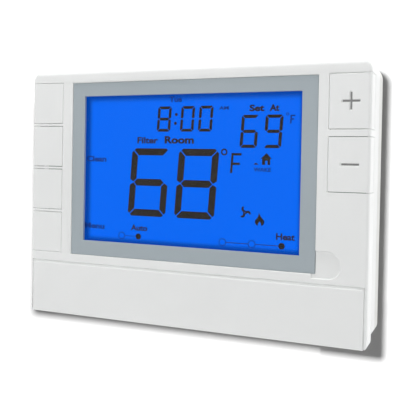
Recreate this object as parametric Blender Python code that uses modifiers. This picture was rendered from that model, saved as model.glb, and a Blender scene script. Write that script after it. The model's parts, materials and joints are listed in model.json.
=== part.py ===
"""A wall thermostat with a blue display, built as an assembly of separate pieces.

+X is to the right seen from the front, +Z is up, and the front looks along -Y. The origin is on the wall,
at the middle of the wall plate's back face. "Out" is the distance from the wall, so a point that is out by d
has y = -d.
"""

import math

import bmesh
import bpy
from mathutils import Matrix, Vector

MM = 0.001
GAP = 0.3 * MM
OVERLAP = 0.6 * MM
PAST = 2 * MM

# The case, seen from the front
HALF_WIDTH = 70 * MM
TOP = 50.8 * MM
BOTTOM = -50 * MM
TOP_CORNER = 5 * MM
BOTTOM_CORNER = 1.5 * MM
REAR_TOP = 50.3 * MM
REAR_BOTTOM = -48.4 * MM
REAR_CORNER = 3 * MM

# The case, out from the wall
PLATE_WALL = 2.2 * MM
PLATE_FRONT = 9 * MM
COVER_BACK = PLATE_FRONT + GAP
COVER_FRONT = 17.2 * MM
HOUSING_BACK = COVER_FRONT + GAP
FACE = 27 * MM
WALL = 1.8 * MM
BACK_EDGE = 2.5 * MM
FRONT_EDGE = 1.2 * MM
TOP_EDGE = 3 * MM
UNDER_EDGE = 2 * MM

# The display
SCREEN_X = (-50 * MM, 51.35 * MM)
SCREEN_Z = (-24.7 * MM, 44.7 * MM)
WINDOW_X = (-44.4 * MM, 45.6 * MM)
WINDOW_Z = (-18.85 * MM, 39.35 * MM)
BEZEL_OUT = (25.4 * MM, 26.6 * MM)
LENS_OUT = (24.4 * MM, 25.1 * MM)
LCD_OUT = (22.3 * MM, 24.1 * MM)
LCD_MARGIN = 2.4 * MM
LENS_MARGIN = 4.2 * MM
HOLDER_WALL = 1.8 * MM
BACKLIGHT_OUT = (19.2 * MM, 22 * MM)
ZEBRA_HEIGHT = 2.2 * MM
ZEBRA_X = (-32 * MM, 33 * MM)

# The keys
KEY_INNER_LEFT = -55.2 * MM
KEY_INNER_RIGHT = 55.6 * MM
KEY_PLATE_BACK = 23.7 * MM
KEY_FLANGE = 1.6 * MM
KEY_FLANGE_BACK = 19.5 * MM
KEY_SLOT_BACK = 18.8 * MM
KEY_LIP = 0.7 * MM
KEY_LIP_FRONT = 24.9 * MM
KEY_EDGE = 0.35 * MM
LEFT_KEY_TOP = 45 * MM
LEFT_KEY_HEIGHT = 16.2 * MM
LEFT_KEY_PITCH = 17.75 * MM
LEFT_KEY_COUNT = 4
RIGHT_KEY_HEIGHT = 18.9 * MM
PLUS_KEY_BOTTOM = 26.1 * MM
MINUS_KEY_BOTTOM = 4.2 * MM
SIGN_X = 63 * MM
SIGN_LENGTH = 6.5 * MM
SIGN_STROKE = 0.9 * MM
SIGN_DEPTH = 0.5 * MM

# The battery door and the bay behind it
SEAM_Z = -28.3 * MM
SHELF = 1.5 * MM
CHEEK_INNER = 67.8 * MM
CHEEK_SKIN = 69.1 * MM
BAY_WALL_FRONT = 18.6 * MM
DOOR_BACK = 24.6 * MM
DOOR_BEVEL = 0.8 * MM
HINGE_OUT = 22.5 * MM
HINGE_Z = -47.5 * MM
KNUCKLE = 2.5 * MM
PIN_RADIUS = 1 * MM
PIN_END = 68.9 * MM
SWING_RADII = (1.8 * MM, 4.1 * MM)
SWING_ANGLE = -152

# Two AAA cells, end to end
CELL_RADIUS = 5.25 * MM
CELL_LENGTH = 44.5 * MM
NUB_RADIUS = 2.6 * MM
NUB_LENGTH = 1 * MM
CELL_OUT = 18.2 * MM
CELL_Z = -37.1 * MM
TRAY_X = 53 * MM
TRAY_Z = (-44.2 * MM, -30 * MM)
TRAY_OUT = (11.4 * MM, 23.6 * MM)
TRAY_WALL = 1.2 * MM
TRAY_RIB = 0.75 * MM
CONTACT = 0.5 * MM
CONTACT_HALF = 4.5 * MM
CONTACT_FRONT = 22 * MM
SPRING_LENGTH = 4 * MM
SPRING_WIRE = 0.3 * MM
SPRING_TURNS = 3.5
SPRING_RADII = (3.9 * MM, 2.2 * MM)

# The circuit board and what it carries
BOARD_X = 67.6 * MM
BOARD_Z = (-26.2 * MM, 47.4 * MM)
BOARD_OUT = (17.4 * MM, 18.9 * MM)
SWITCH_SIDE = 6 * MM
SWITCH_FRONT = 22.4 * MM
SWITCH_WELL = (1.9 * MM, 21 * MM)
PLUNGER_RADIUS = 1.6 * MM
PLUNGER_OUT = (21.7 * MM, 23.4 * MM)
LEFT_SWITCH_X = -61.5 * MM
RIGHT_SWITCH_X = 62.8 * MM
RELAY_SIZE = (10 * MM, 5.6 * MM, 15 * MM)
RELAY_PITCH = 14 * MM
RELAY_BOTTOM = 20 * MM
CHIP = (12 * MM, 1.6 * MM, 12 * MM)
CHIP_BOTTOM = -4 * MM
CRYSTAL = (11 * MM, 3.4 * MM, 4.5 * MM)
CRYSTAL_PLACE = (19.5 * MM, -2 * MM)
CAPACITOR_RADIUS = 2.6 * MM
CAPACITOR_LENGTH = 10 * MM
CAPACITOR_PLACE = (-46 * MM, -6 * MM)
BEAD_RADIUS = 1.2 * MM
BEAD_PLACE = (40 * MM, -13.2 * MM, -22 * MM)
BEAD_WIRE = 0.25 * MM

# The screws that hold the case together
BOSS_X = (-52.4 * MM, 53.6 * MM)
BOSS_Z = (-20 * MM, 38 * MM)
FRONT_BOSS = 1.75 * MM
REAR_BOSS = 2.6 * MM
SHANK = 0.8 * MM
SCREW_HEAD = 1.8 * MM
HEAD_OUT = (9.5 * MM, 10.4 * MM)
HEAD_WELL = 10.7 * MM
SHANK_END = 23.5 * MM
RECESS = (2.2 * MM, 0.5 * MM)
RECESS_DEPTH = 0.5 * MM

# The wall plate
WIRE_OPENING_X = 17 * MM
WIRE_OPENING_Z = (8 * MM, 30 * MM)
WALL_SLOT = (3.8 * MM, 8 * MM)
WALL_SLOT_SPACING = 83.3 * MM
SIDE_SLOT_Z = -10 * MM
TAB_X = 60 * MM
TAB_Z = (-38 * MM, 42 * MM)
TAB_SIZE = (8 * MM, 1.4 * MM)
TAB_OUT = 13 * MM

# The terminal blocks on the wall plate
BLOCK_X = (25 * MM, 40 * MM)
BLOCK_Z = (3.5 * MM, 34.5 * MM)
BLOCK_OUT = (2.5 * MM, 8.7 * MM)
TERMINALS = 4
TERMINAL_PITCH = 7.5 * MM
TERMINAL_X = 36 * MM
TERMINAL_SCREW = 2.2 * MM
SCREW_WELL = (2.6 * MM, 4 * MM)
SCREW_TOP = 8.2 * MM
BLADE_X = 29 * MM
BLADE = (0.8 * MM, 3 * MM)
BLADE_OUT = 6.2 * MM
SOCKET = (1.6 * MM, 3.8 * MM)
SOCKET_FLOOR = 5.9 * MM
WIRE_ENTRY = 2.4 * MM
WIRE_ENTRY_OUT = (3.2 * MM, 5.4 * MM)
HEADER_WIDTH = 3 * MM
HEADER_WINDOW = 4 * MM

# The vents in the rear cover's top and bottom walls
VENT_COUNT = 19
VENT_PITCH = 4 * MM
VENT_WIDTH = 1.6 * MM
VENT_OUT = (12.2 * MM, 15.6 * MM)

# The blank well beside the display
BADGE_RADIUS = 4.85 * MM
BADGE_CENTRE = (56 * MM, -21.65 * MM)
BADGE_DEPTH = 0.7 * MM

# Facets, and the small bevel on loose parts
ARC_STEPS = 8
ROUND_STEPS = 28
SMALL_STEPS = 20
EASE = 0.4 * MM

WHITE = (0.74, 0.75, 0.745, 1)
OFF_WHITE = (0.7, 0.71, 0.7, 1)
GREY = (0.35, 0.4, 0.43, 1)
BLUE = (0.002, 0.14, 0.92, 1)
GREEN = (0.02, 0.16, 0.07, 1)
BLACK = (0.02, 0.02, 0.02, 1)
STEEL = (0.6, 0.6, 0.58, 1)


def clear_scene():
    """Removes whatever the scene starts with."""
    for obj in list(bpy.data.objects):
        bpy.data.objects.remove(obj)


def make_collection(name):
    collection = bpy.data.collections.new(name)
    bpy.context.scene.collection.children.link(collection)
    return collection


clear_scene()
PARTS = make_collection("wall_thermostat")
CUTTERS = make_collection("cutters")


def paint(obj, colour, roughness=0.45, metallic=0.0):
    """Gives an object a material of its own."""
    material = bpy.data.materials.new(obj.name)
    material.use_nodes = True
    shader = material.node_tree.nodes["Principled BSDF"]
    shader.inputs["Base Color"].default_value = colour
    shader.inputs["Roughness"].default_value = roughness
    shader.inputs["Metallic"].default_value = metallic
    obj.data.materials.clear()
    obj.data.materials.append(material)
    return obj


def new_object(name, mesh, at=(0, 0, 0)):
    obj = bpy.data.objects.new(name, mesh)
    obj.location = at
    PARTS.objects.link(obj)
    return obj


def box(name, x, out, z):
    """A block between two x values, two distances out from the wall and two heights."""
    mesh = bpy.data.meshes.new(name)
    cube = bmesh.new()
    bmesh.ops.create_cube(cube, size=1)
    bmesh.ops.scale(cube, vec=(x[1] - x[0], out[1] - out[0], z[1] - z[0]), verts=cube.verts)
    cube.to_mesh(mesh)
    cube.free()
    return new_object(name, mesh, ((x[0] + x[1]) / 2, -(out[0] + out[1]) / 2, (z[0] + z[1]) / 2))


def rod(name, radius, start, end, steps=ROUND_STEPS):
    """A round bar between two points."""
    start = Vector(start)
    along = Vector(end) - start
    mesh = bpy.data.meshes.new(name)
    bar = bmesh.new()
    bmesh.ops.create_cone(
        bar, cap_ends=True, segments=steps, radius1=radius, radius2=radius, depth=along.length
    )
    bar.to_mesh(mesh)
    bar.free()
    mesh.transform(along.to_track_quat("Z", "Y").to_matrix().to_4x4())
    return new_object(name, mesh, start + along / 2)


def rod_out(name, radius, x, z, out, steps=ROUND_STEPS):
    """A round bar that stands straight out from the wall."""
    return rod(name, radius, (x, -out[0], z), (x, -out[1], z), steps)


def turned(name, profile, at, axis, steps=ROUND_STEPS):
    """A profile of (radius, height) points, listed from the top down, turned about an axis."""
    mesh = bpy.data.meshes.new(name)
    points = [(radius, 0, height) for radius, height in profile]
    edges = [(i, i + 1) for i in range(len(points) - 1)]
    mesh.from_pydata(points, edges, [])
    obj = new_object(name, mesh, at)
    obj.rotation_mode = "QUATERNION"
    obj.rotation_quaternion = Vector(axis).to_track_quat("Z", "Y")
    screw = obj.modifiers.new("turn", "SCREW")
    screw.steps = steps
    screw.render_steps = steps
    screw.use_merge_vertices = True
    screw.merge_threshold = 0.00001
    return obj


def arc(centre, radius, start, end, steps=ARC_STEPS):
    """Points along an arc, between two angles in degrees."""
    points = []
    for i in range(steps + 1):
        angle = math.radians(start + (end - start) * i / steps)
        points.append((centre[0] + radius * math.cos(angle), centre[1] + radius * math.sin(angle)))
    return points


def rounded_rectangle(x, z, top, bottom):
    """The outline of a rectangle with one radius for its top corners and one for its bottom corners."""
    outline = arc((x[1] - top, z[1] - top), top, 0, 90)
    outline += arc((x[0] + top, z[1] - top), top, 90, 180)
    outline += arc((x[0] + bottom, z[0] + bottom), bottom, 180, 270)
    outline += arc((x[1] - bottom, z[0] + bottom), bottom, 270, 360)
    return outline


# How an outline's own axes lie in space: its first, its second, and the one it is extruded along
FRONT_VIEW = Matrix(((1, 0, 0), (0, 0, -1), (0, 1, 0))).to_4x4()
SIDE_VIEW = Matrix(((0, 0, -1), (-1, 0, 0), (0, 1, 0))).to_4x4()
TOP_VIEW = Matrix(((1, 0, 0), (0, -1, 0), (0, 0, -1))).to_4x4()


def extruded(name, outline, view, low, high):
    """A flat outline, filled and given thickness between two values across its view."""
    curve = bpy.data.curves.new(name, "CURVE")
    curve.dimensions = "2D"
    curve.fill_mode = "BOTH"
    curve.extrude = (high - low) / 2
    spline = curve.splines.new("POLY")
    spline.points.add(len(outline) - 1)
    for point, (first, second) in zip(spline.points, outline):
        point.co = (first, second, 0, 1)
    spline.use_cyclic_u = True
    flat = bpy.data.objects.new(name + "_outline", curve)
    CUTTERS.objects.link(flat)
    mesh = mesh_of_curve(flat, name)
    mesh.transform(view)
    across = (view.to_3x3() @ Vector((0, 0, 1))) * (low + high) / 2
    mesh.transform(Matrix.Translation(across))
    return new_object(name, mesh)


def mesh_of_curve(curve_object, name):
    """Turns a curve object into a closed mesh, and removes the curve."""
    bpy.context.view_layer.update()
    evaluated = curve_object.evaluated_get(bpy.context.evaluated_depsgraph_get())
    mesh = bpy.data.meshes.new_from_object(evaluated)
    mesh.name = name
    shell = bmesh.new()
    shell.from_mesh(mesh)
    bmesh.ops.remove_doubles(shell, verts=shell.verts, dist=0.000002)
    bmesh.ops.dissolve_limit(shell, angle_limit=math.radians(0.1), verts=shell.verts, edges=shell.edges)
    bmesh.ops.recalc_face_normals(shell, faces=shell.faces)
    shell.to_mesh(mesh)
    shell.free()
    bpy.data.objects.remove(curve_object)
    return mesh


def combine(obj, others, operation):
    """Adds a Boolean with each of the other objects, which become hidden tools."""
    for other in others:
        boolean = obj.modifiers.new(other.name, "BOOLEAN")
        boolean.operation = operation
        boolean.solver = "EXACT"
        boolean.object = other
        PARTS.objects.unlink(other)
        CUTTERS.objects.link(other)
        other.hide_render = True
        other.display_type = "WIRE"
    return obj


def cut(obj, *cutters):
    return combine(obj, cutters, "DIFFERENCE")


def join(obj, *pieces):
    return combine(obj, pieces, "UNION")


def bevel_where(obj, width, segments, chosen):
    """Rounds the edges whose two ends both pass a test on where they are."""
    mesh = obj.data
    weights = mesh.attributes.new("bevel_weight_edge", "FLOAT", "EDGE")
    for edge in mesh.edges:
        ends = [mesh.vertices[i].co + obj.location for i in edge.vertices]
        weights.data[edge.index].value = 1.0 if all(chosen(end) for end in ends) else 0.0
    bevel = obj.modifiers.new("rounded_edges", "BEVEL")
    bevel.limit_method = "WEIGHT"
    bevel.width = width
    bevel.segments = segments
    return obj


def bevel_all(obj, width, segments=1):
    """Rounds every sharp edge."""
    bevel = obj.modifiers.new("eased_edges", "BEVEL")
    bevel.limit_method = "ANGLE"
    bevel.width = width
    bevel.segments = segments
    return obj


def smooth(obj):
    """Shades round pieces smooth, and keeps their sharp edges."""
    obj.data.shade_smooth()
    obj.data.set_sharp_from_angle(angle=math.radians(35))
    return obj


def set_origin(obj, point):
    """Moves an object's origin to a point, and leaves its shape where it is."""
    point = Vector(point)
    obj.data.transform(Matrix.Translation(obj.location - point))
    obj.location = point
    return obj


def grown(span, by):
    return (span[0] - by, span[1] + by)


def sorted_pair(first, second):
    return (min(first, second), max(first, second))


def centred(middle, size):
    return (middle - size / 2, middle + size / 2)


def level(distance, value):
    """Tells whether two lengths are the same, to a hundredth of a millimetre."""
    return abs(distance - value) < 0.01 * MM


def terminal_heights():
    middle = sum(BLOCK_Z) / 2
    return [middle + (i - (TERMINALS - 1) / 2) * TERMINAL_PITCH for i in range(TERMINALS)]


def boss_places():
    return [(x, z) for x in BOSS_X for z in BOSS_Z]


def tab_places():
    return [(x, z) for x in (-TAB_X, TAB_X) for z in TAB_Z]


def make_wall_plate():
    """The plate that is screwed to the wall, a shallow tray with the wiring space inside it."""
    outline = rounded_rectangle((-HALF_WIDTH, HALF_WIDTH), (REAR_BOTTOM, REAR_TOP), TOP_CORNER, REAR_CORNER)
    plate = extruded("wall_plate", outline, FRONT_VIEW, 0, PLATE_FRONT)
    bevel_where(plate, BACK_EDGE, 4, lambda point: level(point.y, 0))
    cut(plate, rear_pocket("plate_pocket", PLATE_WALL, PLATE_FRONT))
    for i, (x, z) in enumerate(tab_places()):
        tab_out = (PLATE_WALL - OVERLAP, TAB_OUT)
        join(plate, box(f"plate_tab_{i}", centred(x, TAB_SIZE[0]), tab_out, centred(z, TAB_SIZE[1])))
    through = (-PAST, PLATE_WALL + PAST)
    cut(plate, box("wire_opening", (-WIRE_OPENING_X, WIRE_OPENING_X), through, WIRE_OPENING_Z))
    for i, (x, z, long_x) in enumerate(wall_slot_places()):
        cut(plate, slot_cutter(f"wall_slot_{i}", x, z, long_x, through))
    return paint(plate, OFF_WHITE, 0.5)


def rear_pocket(name, floor, front):
    """The hollow inside the wall plate or the rear cover, from its floor to past its open front."""
    across = (WALL - HALF_WIDTH, HALF_WIDTH - WALL)
    return box(name, across, (floor, front + PAST), (REAR_BOTTOM + WALL, REAR_TOP - WALL))


def wall_slot_places():
    """Each wall screw slot's centre, and whether it is long from side to side."""
    half = WALL_SLOT_SPACING / 2
    return [(-half, SIDE_SLOT_Z, False), (half, SIDE_SLOT_Z, False), (0, half, True), (0, -half, True)]


def slot_cutter(name, x, z, long_x, out):
    """A slot with round ends."""
    radius = WALL_SLOT[0] / 2
    reach = WALL_SLOT[1] / 2 - radius
    outline = arc((reach, 0), radius, -90, 90) + arc((-reach, 0), radius, 90, 270)
    if not long_x:
        outline = [(-second, first) for first, second in outline]
    outline = [(first + x, second + z) for first, second in outline]
    return extruded(name, outline, FRONT_VIEW, out[0], out[1])


def make_terminal_block(side, sign):
    """A block of screw terminals, with wire entries towards the middle and blade sockets in its front."""
    span = sorted_pair(sign * BLOCK_X[0], sign * BLOCK_X[1])
    block = box(f"terminal_block_{side}", span, BLOCK_OUT, BLOCK_Z)
    bevel_all(block, EASE)
    screw_x = sign * TERMINAL_X
    front = BLOCK_OUT[1] + PAST
    entry_x = sorted_pair(sign * (BLOCK_X[0] - PAST), sign * (TERMINAL_X - SCREW_WELL[0] / 2))
    for i, z in enumerate(terminal_heights()):
        mark = f"{side}_{i + 1}"
        socket_x = centred(sign * BLADE_X, SOCKET[0])
        well_out = (SCREW_WELL[1], front)
        cut(block, rod_out(f"screw_well_{mark}", SCREW_WELL[0], screw_x, z, well_out, SMALL_STEPS))
        cut(block, box(f"blade_socket_{mark}", socket_x, (SOCKET_FLOOR, front), centred(z, SOCKET[1])))
        cut(block, box(f"wire_entry_{mark}", entry_x, WIRE_ENTRY_OUT, centred(z, WIRE_ENTRY)))
        make_terminal_screw(f"terminal_screw_{mark}", screw_x, z)
    return paint(block, (0.05, 0.25, 0.1, 1), 0.5)


def make_terminal_screw(name, x, z):
    """A slotted clamping screw."""
    head, shank = 1.6 * MM, 1.5 * MM
    end = head + 1 * MM
    profile = [(0, 0), (TERMINAL_SCREW - EASE, 0), (TERMINAL_SCREW, -EASE)]
    profile += [(TERMINAL_SCREW, -head), (shank, -head), (shank, -end), (0, -end)]
    screw = turned(name, profile, (x, -SCREW_TOP, z), (0, -1, 0), SMALL_STEPS)
    deep = (SCREW_TOP - 0.7 * MM, SCREW_TOP + PAST)
    cut(screw, box(name + "_slot", centred(x, 0.8 * MM), deep, centred(z, 3 * TERMINAL_SCREW)))
    return paint(smooth(screw), STEEL, 0.3, 1)


def make_rear_cover():
    """The back half of the case, open to the front."""
    outline = rounded_rectangle((-HALF_WIDTH, HALF_WIDTH), (REAR_BOTTOM, REAR_TOP), TOP_CORNER, REAR_CORNER)
    cover = extruded("rear_cover", outline, FRONT_VIEW, COVER_BACK, COVER_FRONT)
    floor = COVER_BACK + WALL
    through = (COVER_BACK - PAST, floor + PAST)
    cut(cover, rear_pocket("cover_pocket", floor, COVER_FRONT))
    for i, (x, z) in enumerate(boss_places()):
        join(cover, rod_out(f"rear_boss_{i}", REAR_BOSS, x, z, (floor - OVERLAP, BOARD_OUT[0] - GAP)))
        cut(cover, rod_out(f"head_well_{i}", SCREW_HEAD + GAP, x, z, (COVER_BACK - PAST, HEAD_WELL)))
        hole_out = (COVER_BACK, COVER_FRONT + PAST)
        cut(cover, rod_out(f"shank_hole_{i}", SHANK + GAP, x, z, hole_out, SMALL_STEPS))
    for i, (x, z) in enumerate(tab_places()):
        across, high = centred(x, TAB_SIZE[0] + 2 * GAP), centred(z, TAB_SIZE[1] + 2 * GAP)
        cut(cover, box(f"tab_slot_{i}", across, through, high))
    for side, sign in (("left", -1), ("right", 1)):
        across = centred(sign * BLADE_X, HEADER_WINDOW)
        cut(cover, box(f"header_window_{side}", across, through, grown(BLOCK_Z, -HEADER_WIDTH / 2)))
    cut(cover, vent_cutter("top_vents", REAR_TOP), vent_cutter("bottom_vents", REAR_BOTTOM))
    return paint(cover, WHITE)


def vent_cutter(name, z):
    """A row of slots through the top or bottom wall."""
    first = -(VENT_COUNT - 1) / 2 * VENT_PITCH
    slot = box(name, centred(first, VENT_WIDTH), VENT_OUT, centred(z, 3 * WALL))
    row = slot.modifiers.new("row", "ARRAY")
    row.use_relative_offset = False
    row.use_constant_offset = True
    row.constant_offset_displace = (VENT_PITCH, 0, 0)
    row.count = VENT_COUNT
    return slot


def housing_side_profile():
    """The front half's side view: rounded over at the top front, and under at the bottom back."""
    bulge = 0.02 * MM
    clear = 1 * MM
    profile = [(HOUSING_BACK - PAST, TOP + PAST), (FACE - TOP_EDGE - clear, TOP + PAST)]
    profile += arc((FACE - TOP_EDGE, TOP - TOP_EDGE), TOP_EDGE + bulge, 95, -5, 10)
    profile += [(FACE + PAST, TOP - TOP_EDGE - clear), (FACE + PAST, BOTTOM - PAST)]
    profile += [(HOUSING_BACK + UNDER_EDGE + clear, BOTTOM - PAST)]
    profile += arc((HOUSING_BACK + UNDER_EDGE, BOTTOM + UNDER_EDGE), UNDER_EDGE + bulge, -85, -185)
    profile += [(HOUSING_BACK - PAST, BOTTOM + UNDER_EDGE + clear)]
    return profile


def make_front_housing():
    """The front half of the case, with openings for the display, the keys and the battery door."""
    outline = rounded_rectangle((-HALF_WIDTH, HALF_WIDTH), (BOTTOM, TOP), TOP_CORNER, BOTTOM_CORNER)
    housing = extruded("front_housing", outline, FRONT_VIEW, HOUSING_BACK, FACE)
    bevel_where(housing, FRONT_EDGE, 4, lambda point: level(point.y, -FACE))
    reach = HALF_WIDTH + PAST
    side = extruded("housing_side_profile", housing_side_profile(), SIDE_VIEW, -reach, reach)
    combine(housing, [side], "INTERSECT")
    inner = HALF_WIDTH - WALL
    back = HOUSING_BACK - PAST
    front = FACE + PAST
    cut(housing, box("housing_pocket", (-inner, inner), (back, FACE - WALL), (SEAM_Z + SHELF, TOP - WALL)))
    for i, (x, z) in enumerate(boss_places()):
        boss_out = (BOARD_OUT[1] + GAP, FACE - WALL + OVERLAP)
        join(housing, rod_out(f"front_boss_{i}", FRONT_BOSS, x, z, boss_out))
        pilot_out = (BOARD_OUT[1], SHANK_END + GAP)
        cut(housing, rod_out(f"pilot_hole_{i}", SHANK + GAP, x, z, pilot_out, SMALL_STEPS))
    below = (BOTTOM - PAST, SEAM_Z)
    window_x = (-TRAY_X - GAP, TRAY_X + GAP)
    cut(
        housing,
        box("door_bay", (-CHEEK_INNER, CHEEK_INNER), (BAY_WALL_FRONT, front), below),
        box("door_rebate", (-CHEEK_SKIN, CHEEK_SKIN), (DOOR_BACK - GAP, front), below),
        box("tray_window", window_x, (back, BAY_WALL_FRONT + PAST), grown(TRAY_Z, GAP)),
        hinge_bar("hinge_holes", PIN_RADIUS + GAP, PIN_END + GAP),
        door_swing(),
        box("screen_opening", grown(SCREEN_X, GAP), (FACE - WALL - GAP, front), grown(SCREEN_Z, GAP)),
        badge_well(),
    )
    for name, x, z in key_places():
        opening_x = (x[0] - PAST, x[1] + GAP) if x[0] < 0 else (x[0] - GAP, x[1] + PAST)
        cut(housing, box(f"{name}_opening", opening_x, (KEY_SLOT_BACK, front), grown(z, GAP)))
    return paint(housing, WHITE)


def hinge_bar(name, radius, end):
    """A round bar along the door's hinge axis."""
    return rod(name, radius, (-end, -HINGE_OUT, HINGE_Z), (end, -HINGE_OUT, HINGE_Z), SMALL_STEPS)


def door_swing():
    """Room in the cheeks for the door's lower edge to swing back, around a boss left for the pins."""
    centre = (HINGE_OUT, HINGE_Z)
    outline = arc(centre, SWING_RADII[1], 0, SWING_ANGLE, 12)
    outline += arc(centre, SWING_RADII[0], SWING_ANGLE, 0, 12)
    return extruded("door_swing", outline, SIDE_VIEW, -CHEEK_SKIN, CHEEK_SKIN)


def badge_well():
    """A shallow blank well beside the display, with a round right end."""
    left = SCREEN_X[1] - 1 * MM
    low, high = BADGE_CENTRE[1] - BADGE_RADIUS, BADGE_CENTRE[1] + BADGE_RADIUS
    outline = [(left, high), (left, low)] + arc(BADGE_CENTRE, BADGE_RADIUS, -90, 90, 14)
    return extruded("badge_well", outline, FRONT_VIEW, FACE - BADGE_DEPTH, FACE + PAST)


def key_places():
    """Each key's name, its x range and its height range."""
    places = []
    left = (-HALF_WIDTH, KEY_INNER_LEFT)
    for i in range(LEFT_KEY_COUNT):
        top = LEFT_KEY_TOP - i * LEFT_KEY_PITCH
        places.append((f"key_left_{i + 1}", left, (top - LEFT_KEY_HEIGHT, top)))
    right = (KEY_INNER_RIGHT, HALF_WIDTH)
    places.append(("key_plus", right, (PLUS_KEY_BOTTOM, PLUS_KEY_BOTTOM + RIGHT_KEY_HEIGHT)))
    places.append(("key_minus", right, (MINUS_KEY_BOTTOM, MINUS_KEY_BOTTOM + RIGHT_KEY_HEIGHT)))
    return places


def key_outline(sign, inner, lip):
    """A key seen from above: a plate that wraps round the case's edge, with a lip behind the face."""
    outer = sign * HALF_WIDTH
    corner = (outer - sign * FRONT_EDGE, FACE - FRONT_EDGE)
    turn = arc(corner, FRONT_EDGE, 0, 90) if sign > 0 else arc(corner, FRONT_EDGE, 180, 90)
    flange = outer - sign * KEY_FLANGE
    outline = [(flange, KEY_FLANGE_BACK), (outer, KEY_FLANGE_BACK)] + turn + [(inner, FACE)]
    if lip:
        edge = inner - sign * KEY_LIP
        outline += [(inner, KEY_LIP_FRONT), (edge, KEY_LIP_FRONT), (edge, KEY_PLATE_BACK)]
    else:
        outline += [(inner, KEY_PLATE_BACK)]
    return outline + [(flange, KEY_PLATE_BACK)]


def make_key(name, x, z):
    """One key, with its origin where a finger presses it."""
    sign = -1 if x[0] < 0 else 1
    inner = x[1] if sign < 0 else x[0]
    outline = key_outline(sign, inner, lip=sign < 0)
    key = extruded(name, outline, TOP_VIEW, -z[1], -z[0])
    middle = (z[0] + z[1]) / 2
    switch_x = LEFT_SWITCH_X if sign < 0 else RIGHT_SWITCH_X
    set_origin(key, (switch_x, -FACE, middle))
    bevel_where(key, KEY_EDGE, 2, lambda point: level(point.y, -FACE))
    if sign > 0:
        cut(key, sign_cutter(name + "_bar", middle, SIGN_LENGTH, SIGN_STROKE))
    if name == "key_plus":
        cut(key, sign_cutter(name + "_upright", middle, SIGN_STROKE, SIGN_LENGTH))
    paint(key, WHITE, 0.4)
    make_switch(name, switch_x, middle, key)


def sign_cutter(name, z, length, height):
    return box(name, centred(SIGN_X, length), (FACE - SIGN_DEPTH, FACE + PAST), centred(z, height))


def make_switch(key_name, x, z, key):
    """The push switch behind a key: a square body on the board, and a plunger that moves with the key."""
    name = key_name.replace("key", "switch")
    body_out = (BOARD_OUT[1] + GAP, SWITCH_FRONT)
    body = box(name, centred(x, SWITCH_SIDE), body_out, centred(z, SWITCH_SIDE))
    well_out = (SWITCH_WELL[1], SWITCH_FRONT + PAST)
    cut(body, rod_out(name + "_well", SWITCH_WELL[0], x, z, well_out, SMALL_STEPS))
    paint(body, BLACK, 0.5)
    plunger = rod_out(key_name.replace("key", "plunger"), PLUNGER_RADIUS, x, z, PLUNGER_OUT, SMALL_STEPS)
    paint(smooth(plunger), OFF_WHITE)
    plunger.parent = key
    plunger.location -= key.location


def make_battery_door():
    """The flip-down door that fills the bottom of the face, hinged along its lower edge."""
    top = SEAM_Z - GAP
    plate = [(DOOR_BACK, top), (FACE - DOOR_BEVEL, top), (FACE, top - DOOR_BEVEL)]
    plate += arc((FACE - DOOR_BEVEL, BOTTOM + DOOR_BEVEL), DOOR_BEVEL, 0, -90, 5)
    plate += [(DOOR_BACK, BOTTOM)]
    end = CHEEK_SKIN - GAP
    door = extruded("battery_door", plate, SIDE_VIEW, -end, end)
    set_origin(door, (0, -HINGE_OUT, HINGE_Z))
    deep = DOOR_BACK + OVERLAP
    knuckle = [(deep, HINGE_Z + KNUCKLE)]
    knuckle += arc((HINGE_OUT, HINGE_Z), KNUCKLE, 90, 270, 12)
    knuckle += [(deep, BOTTOM)]
    barrel = CHEEK_INNER - GAP
    join(door, extruded("door_knuckle", knuckle, SIDE_VIEW, -barrel, barrel))
    join(door, hinge_bar("door_pins", PIN_RADIUS, PIN_END))
    return paint(door, WHITE)


def make_display():
    """The bezel, lens, display glass, its holder, the backlight and the rubber connector strip."""
    bezel = box("screen_bezel", SCREEN_X, BEZEL_OUT, SCREEN_Z)
    cut(bezel, box("bezel_window", WINDOW_X, (BEZEL_OUT[0] - PAST, BEZEL_OUT[1] + PAST), WINDOW_Z))
    paint(bezel, GREY, 0.5)
    lens = box("display_lens", grown(WINDOW_X, LENS_MARGIN), LENS_OUT, grown(WINDOW_Z, LENS_MARGIN))
    paint(lens, (0.8, 0.85, 0.9, 1), 0.1)
    glass_x = grown(WINDOW_X, LCD_MARGIN)
    glass_z = grown(WINDOW_Z, LCD_MARGIN)
    paint(box("lcd_panel", glass_x, LCD_OUT, glass_z), BLUE, 0.2)
    lit_z = (glass_z[0] + ZEBRA_HEIGHT + 3 * GAP, glass_z[1])
    paint(box("backlight_panel", glass_x, BACKLIGHT_OUT, lit_z), (0.8, 0.9, 1, 1), 0.3)
    strip_z = (glass_z[0] + GAP, glass_z[0] + GAP + ZEBRA_HEIGHT)
    paint(box("zebra_strip", ZEBRA_X, BACKLIGHT_OUT, strip_z), BLACK, 0.8)
    inside = (grown(glass_x, GAP), grown(glass_z, GAP))
    outside = (grown(glass_x, GAP + HOLDER_WALL), grown(glass_z, GAP + HOLDER_WALL))
    tall = (BACKLIGHT_OUT[0], LCD_OUT[1])
    holder = box("lcd_holder", outside[0], tall, outside[1])
    cut(holder, box("holder_window", inside[0], grown(tall, PAST), inside[1]))
    paint(holder, OFF_WHITE)


def make_main_board():
    """The circuit board, with holes for the case screws."""
    board = box("main_board", (-BOARD_X, BOARD_X), BOARD_OUT, BOARD_Z)
    for i, (x, z) in enumerate(boss_places()):
        cut(board, rod_out(f"board_hole_{i}", SHANK + 2 * GAP, x, z, grown(BOARD_OUT, PAST), 20))
    return paint(board, GREEN, 0.4)


def on_board_back(name, size, x, bottom):
    """A block soldered to the back of the board. Its size is its width, its depth and its height."""
    back = BOARD_OUT[0] - GAP
    return box(name, centred(x, size[0]), (back - size[1], back), (bottom, bottom + size[2]))


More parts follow.
